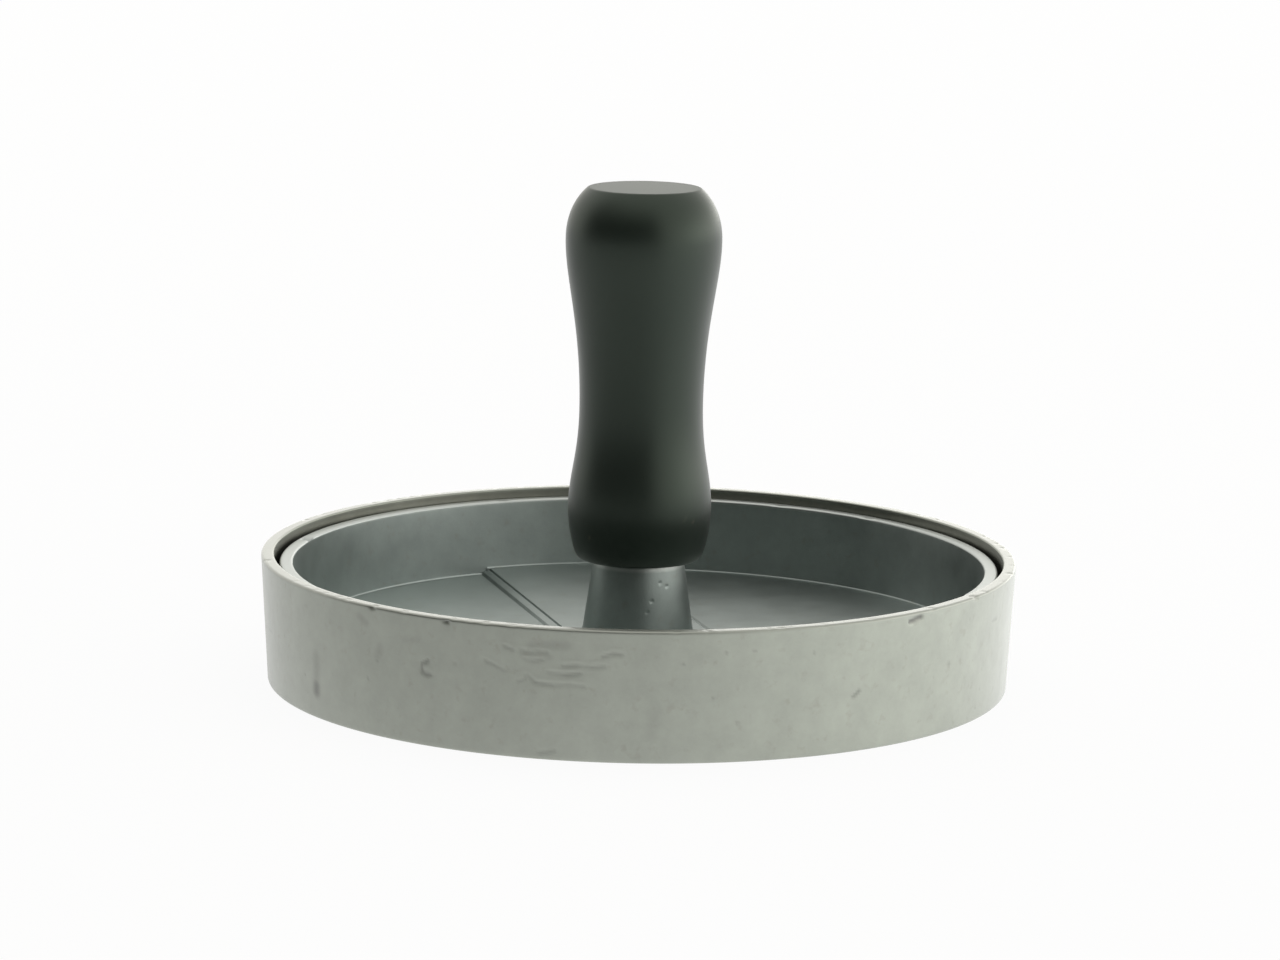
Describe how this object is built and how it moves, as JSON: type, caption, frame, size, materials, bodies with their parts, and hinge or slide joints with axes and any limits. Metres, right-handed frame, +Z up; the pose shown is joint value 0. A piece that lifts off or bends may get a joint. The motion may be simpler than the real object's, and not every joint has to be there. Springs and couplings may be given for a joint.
{
  "type": "burger press",
  "caption": "Cast hand press for meat patties: an open round mould ring and a lift-out presser pan with a ridged underside, conical stem and waisted screw-on handle.",
  "frame": {"origin": "centre of the mould ring's foot, on the table the press stands on", "axes": "+Z up along the handle and the common axis of ring, presser and handle; +Y along the raised band on the pan's floor"},
  "size_m": [0.12, 0.12, 0.0787],
  "materials": {
    "ring_casting": "as-cast aluminium, dull grey with fine pits, worn bright along the rim",
    "presser_casting": "as-cast aluminium, smoother and darker than the ring, bright worn rim",
    "spring_steel": "dark oiled spring steel",
    "zinc_steel": "bright zinc-plated steel",
    "insert_brass": "turned and knurled brass",
    "black_moulding": "black satin phenolic moulding"
  },
  "bodies": {
    "ring": {"mould_ring": "ring_casting"},
    "presser": {"presser": "presser_casting"},
    "washer": {"spring_washer": "spring_steel"},
    "handle": {"handle": "black_moulding", "thread_insert": "insert_brass", "handle_stud": "zinc_steel"}
  },
  "joints": [
    {"name": "presser_lift", "type": "slide", "parent": "ring", "child": "presser", "axis": [0, 0, 1], "range_m": [0, 0.04]},
    {"name": "handle_turn", "type": "hinge", "parent": "presser", "child": "washer", "pos_m": [0, 0, 0.0192], "axis": [0, 0, 1], "range_deg": [0, 2880]},
    {"name": "handle_rise", "type": "slide", "parent": "washer", "child": "handle", "axis": [0, 0, 1], "range_m": [0, 0.00801]}
  ],
  "couplings": [
    {"joint": "handle_rise", "follows": "handle_turn", "m_per_rad": 0.00015915}
  ]
}
